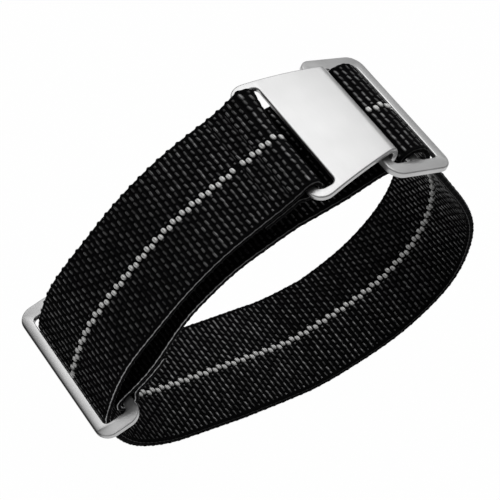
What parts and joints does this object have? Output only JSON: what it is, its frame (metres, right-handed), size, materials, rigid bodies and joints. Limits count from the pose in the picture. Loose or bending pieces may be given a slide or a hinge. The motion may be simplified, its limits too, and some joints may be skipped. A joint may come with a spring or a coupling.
{
  "type": "elastic nylon watch strap",
  "caption": "One-piece elastic woven strap with a light centre stripe, closed into a loop by a flat metal hook in a three-bar ring, with an adjusting slider.",
  "frame": {"origin": "centre of the flat seat's outer face, where the watch case rests on the strap", "axes": "+X along the seat towards the ring's side of the loop, +Y across the webbing, +Z from the seat towards the clasp"},
  "size_m": [0.0699, 0.0268, 0.0557],
  "materials": {
    "webbing": "ribbed elastic nylon weave",
    "stripe": "coarse woven yarn",
    "thread": "twisted polyester thread",
    "hook_steel": "fine satin",
    "frame_steel": "satin with softened edges"
  },
  "bodies": {
    "strap": {"webbing": "webbing", "centre_stripe": "stripe", "hook_seam_front": "thread", "hook_seam_rear": "thread", "slider_seam_front": "thread", "slider_seam_rear": "thread"},
    "hook": {"hook": "hook_steel"},
    "catch_ring": {"catch_ring": "frame_steel"},
    "slider": {"slider": "frame_steel"}
  },
  "joints": [
    {"name": "hook_swing", "type": "hinge", "parent": "strap", "child": "hook", "pos_m": [-0.00404, 0, 0.05225], "axis": [0, -1, 0], "range_deg": [0, 150]},
    {"name": "ring_rock", "type": "hinge", "parent": "strap", "child": "catch_ring", "pos_m": [0.0143, 0, 0.05255], "axis": [0, 1, 0], "range_deg": [-6, 1]},
    {"name": "slider_rock", "type": "hinge", "parent": "strap", "child": "slider", "pos_m": [-0.02722, 0, 0.01621], "axis": [0, 1, 0], "range_deg": [-6, 12]}
  ]
}
